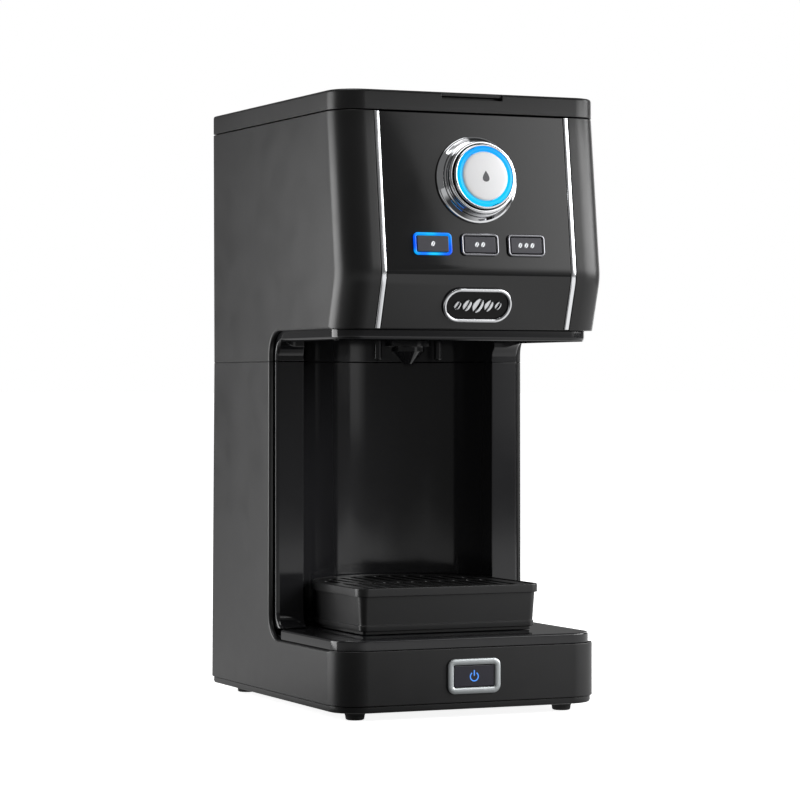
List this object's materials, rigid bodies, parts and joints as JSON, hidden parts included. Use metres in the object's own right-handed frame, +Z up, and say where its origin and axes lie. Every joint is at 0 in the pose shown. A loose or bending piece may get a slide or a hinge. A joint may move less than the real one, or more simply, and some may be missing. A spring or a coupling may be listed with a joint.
{
  "type": "drip coffee maker",
  "caption": "Slim single-cup drip coffee maker with a wedge-shaped head, round lit start button, open cup bay, drip tray and hinged lid.",
  "frame": {"origin": "centre of the footprint of the bounding box, on the plane of the feet", "axes": "+Z up, -Y towards the controls, +X to the right of someone facing the controls"},
  "size_m": [0.1474, 0.1989, 0.315],
  "materials": {
    "black_satin": "satin moulded black",
    "black_gloss": "polished black",
    "black_rubber": "matte",
    "chrome": "bright plated",
    "silver": "satin silver",
    "steel": "satin",
    "button_dark": "satin dark grey",
    "cap_white": "silvery white",
    "light_blue": "translucent, lit blue from inside",
    "tank_clear": "smoke grey translucent",
    "board_green": "circuit board",
    "hose_silicone": "silicone",
    "aluminium": "cast"
  },
  "bodies": {
    "body": {"upper_housing": "black_satin", "front_panel": "black_gloss", "trim_strip_left": "chrome", "trim_strip_right": "chrome", "upper_liner": "black_gloss", "lower_housing": "black_satin", "lower_liner": "black_gloss", "deck_plate": "black_gloss", "base_cover": "black_satin", "foot_front_left": "black_rubber", "foot_front_right": "black_rubber", "foot_back_left": "black_rubber", "foot_back_right": "black_rubber", "screw_front_left": "steel", "screw_front_right": "steel", "screw_back_left": "steel", "screw_back_right": "steel", "inner_deck": "black_satin", "water_tank": "tank_clear", "tank_strainer": "steel", "brew_basket": "black_satin", "drip_valve": "hose_silicone", "mesh_filter": "steel", "hinge_pin_left": "steel", "hinge_pin_right": "steel", "knob_bezel": "chrome", "frame_mild": "light_blue", "frame_medium": "silver", "frame_strong": "silver", "power_frame": "silver", "badge_ring": "chrome", "badge_plate": "black_satin", "control_board": "board_green", "power_board": "board_green", "heater": "aluminium", "thermostat": "steel", "thermal_fuse": "steel", "cold_hose_upper": "hose_silicone", "check_valve": "cap_white", "cold_hose_lower": "hose_silicone", "hot_tube": "hose_silicone", "hot_outlet": "black_satin", "cord_gland": "black_rubber"},
    "lid": {"lid": "black_satin", "lid_inner": "black_satin", "shower_plate": "black_satin"},
    "start_button": {"start_rim": "chrome", "start_light_ring": "light_blue", "start_cap": "cap_white"},
    "mild_button": {"button_mild": "button_dark"},
    "medium_button": {"button_medium": "button_dark"},
    "strong_button": {"button_strong": "button_dark"},
    "power_button": {"button_power": "button_dark"},
    "drip_tray": {"drip_tray": "black_satin"},
    "drip_grille": {"drip_grille": "black_satin"}
  },
  "joints": [
    {"name": "lid_hinge", "type": "hinge", "parent": "body", "child": "lid", "pos_m": [0, 0.09674, 0.30452], "axis": [-1, 0, 0], "range_deg": [0, 95]},
    {"name": "start_press", "type": "slide", "parent": "body", "child": "start_button", "axis": [0, 0.9925, -0.1224], "range_m": [0, 0.0015], "stiffness_N_per_m": 400, "springref_m": -0.0005},
    {"name": "mild_press", "type": "slide", "parent": "body", "child": "mild_button", "axis": [0, 0.9925, -0.1224], "range_m": [0, 0.0008], "stiffness_N_per_m": 600, "springref_m": -0.0004},
    {"name": "medium_press", "type": "slide", "parent": "body", "child": "medium_button", "axis": [0, 0.9925, -0.1224], "range_m": [0, 0.0008], "stiffness_N_per_m": 600, "springref_m": -0.0004},
    {"name": "strong_press", "type": "slide", "parent": "body", "child": "strong_button", "axis": [0, 0.9925, -0.1224], "range_m": [0, 0.0008], "stiffness_N_per_m": 600, "springref_m": -0.0004},
    {"name": "power_press", "type": "slide", "parent": "body", "child": "power_button", "axis": [0, 1, 0], "range_m": [0, 0.0015], "stiffness_N_per_m": 400, "springref_m": -0.0005},
    {"name": "tray_slide", "type": "slide", "parent": "body", "child": "drip_tray", "axis": [0, -1, 0], "range_m": [0, 0.16]},
    {"name": "grille_lift", "type": "slide", "parent": "drip_tray", "child": "drip_grille", "axis": [0, 0, 1], "range_m": [0, 0.1]}
  ]
}
